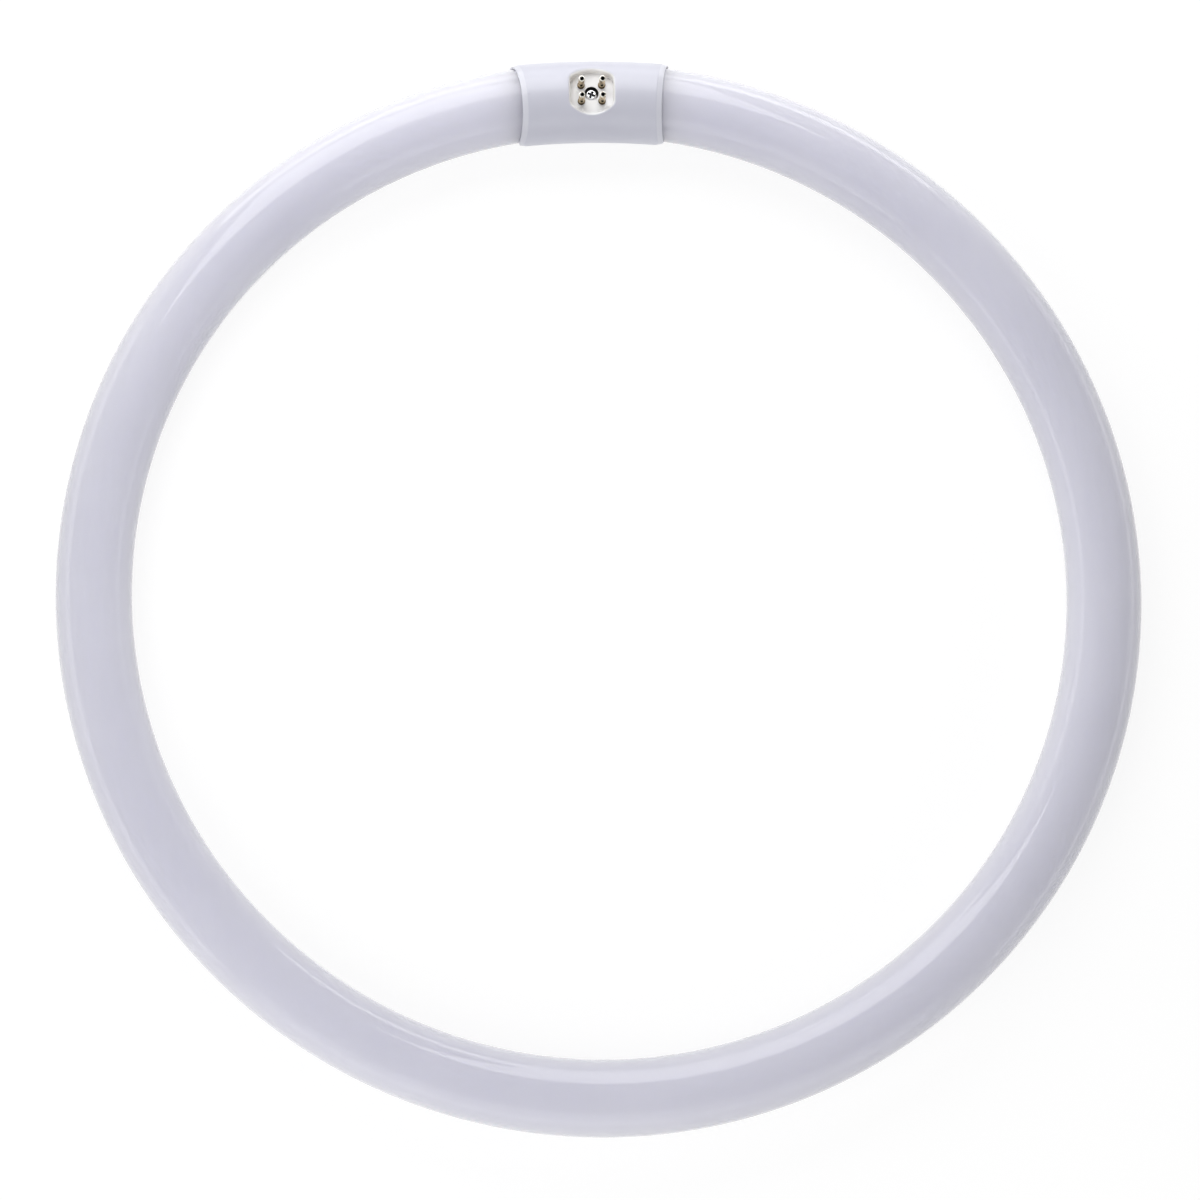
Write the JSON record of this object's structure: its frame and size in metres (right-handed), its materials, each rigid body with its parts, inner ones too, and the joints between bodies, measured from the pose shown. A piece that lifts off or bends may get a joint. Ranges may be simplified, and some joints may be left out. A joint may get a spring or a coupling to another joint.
{
  "type": "circular fluorescent tube",
  "caption": "Ring-shaped fluorescent lamp: white-coated glass tube bent to a circle, its sealed ends joined by a clamped plastic base with a recessed pin connector.",
  "frame": {"origin": "centre of the ring, on the surface that the lamp lies on", "axes": "+Z along the contact pins, square to the ring; +Y from the ring's centre to the base; +X along the base"},
  "size_m": [0.408, 0.4087, 0.0335],
  "materials": {
    "coated_glass": "glossy glass over a white coat",
    "base_plastic": "smooth moulded white",
    "screw_plating": "bright plated",
    "pin_brass": "drawn, slightly tarnished",
    "lead_wire": "drawn nickel wire"
  },
  "bodies": {
    "root": {"glass_tube": "coated_glass", "base_front_shell": "base_plastic", "base_rear_shell": "base_plastic", "clamp_screw": "screw_plating", "contact_pin_1": "pin_brass", "contact_pin_2": "pin_brass", "contact_pin_3": "pin_brass", "contact_pin_4": "pin_brass", "lead_wire_1": "lead_wire", "lead_wire_2": "lead_wire", "lead_wire_3": "lead_wire", "lead_wire_4": "lead_wire"}
  },
  "joints": []
}
